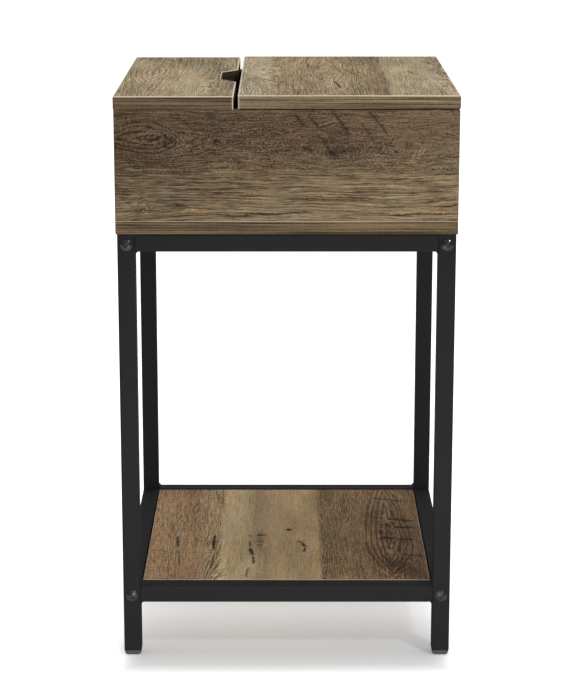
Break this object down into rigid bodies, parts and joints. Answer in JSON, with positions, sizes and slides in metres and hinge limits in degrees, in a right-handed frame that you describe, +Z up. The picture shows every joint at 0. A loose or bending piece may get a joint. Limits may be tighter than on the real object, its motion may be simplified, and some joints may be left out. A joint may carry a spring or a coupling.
{
  "type": "lift top end table",
  "caption": "End table: slim square-tube frame, low shelf, and a storage box whose wider top panel lifts and shifts sideways on parallel arms.",
  "frame": {"origin": "on the floor, under the middle of the table's footprint", "axes": "+X to the right, +Y to the back, +Z up; the pictured front faces -Y"},
  "size_m": [0.38, 0.4026, 0.65],
  "materials": {
    "oak_laminate": "matt wood-grain laminate",
    "frame_black": "black powder coat",
    "glide_plastic": "moulded black",
    "bolt_black": "black oxide",
    "zinc_steel": "zinc plated",
    "lift_black": "black satin paint",
    "dowel_wood": "plain beech",
    "bumper_rubber": "clear grey pad",
    "spacer_nylon": "white nylon"
  },
  "bodies": {
    "table": {"front_panel": "oak_laminate", "rear_panel": "oak_laminate", "left_panel": "oak_laminate", "right_panel": "oak_laminate", "tub_floor_panel": "oak_laminate", "fixed_top_panel": "oak_laminate", "shelf_panel": "oak_laminate", "front_left_leg": "frame_black", "front_right_leg": "frame_black", "rear_left_leg": "frame_black", "rear_right_leg": "frame_black", "front_top_rail": "frame_black", "front_shelf_rail": "frame_black", "rear_top_rail": "frame_black", "rear_shelf_rail": "frame_black", "left_top_rail": "frame_black", "left_shelf_rail": "frame_black", "right_top_rail": "frame_black", "right_shelf_rail": "frame_black", "weld_fillets": "frame_black", "front_left_glide": "glide_plastic", "front_right_glide": "glide_plastic", "rear_left_glide": "glide_plastic", "rear_right_glide": "glide_plastic", "frame_bolts": "bolt_black", "rail_plugs": "zinc_steel", "shelf_tabs": "frame_black", "shelf_screws": "zinc_steel", "frame_screws": "zinc_steel", "floor_screws": "zinc_steel", "dowels": "dowel_wood", "cam_locks": "zinc_steel", "cam_bolts": "zinc_steel", "lid_bumpers": "bumper_rubber", "front_lift_bracket": "lift_black", "rear_lift_bracket": "lift_black", "lift_bracket_screws": "zinc_steel", "base_pivot_pins": "zinc_steel", "pivot_spacers": "spacer_nylon"},
    "lift_arms": {"front_lift_arm": "lift_black", "rear_lift_arm": "lift_black", "cross_tube": "lift_black"},
    "guide_arms": {"front_guide_arm": "lift_black", "rear_guide_arm": "lift_black"},
    "lid": {"lid_board": "oak_laminate", "front_lid_bracket": "lift_black", "rear_lid_bracket": "lift_black", "lid_pivot_pins": "zinc_steel", "lid_bracket_screws": "zinc_steel"}
  },
  "joints": [
    {"name": "lift", "type": "hinge", "parent": "table", "child": "lift_arms", "pos_m": [0.12117, 0, 0.5649], "axis": [0, 1, 0], "range_deg": [0, 90]},
    {"name": "lid_pivot", "type": "hinge", "parent": "lift_arms", "child": "lid", "pos_m": [-0.0285, 0, 0.605], "axis": [0, 1, 0], "range_deg": [-90, 0]},
    {"name": "guide", "type": "hinge", "parent": "table", "child": "guide_arms", "pos_m": [0.14715, 0, 0.5799], "axis": [0, 1, 0], "range_deg": [0, 90]}
  ],
  "couplings": [
    {"joint": "lid_pivot", "follows": "lift", "ratio": -1},
    {"joint": "guide", "follows": "lift", "ratio": 1}
  ]
}
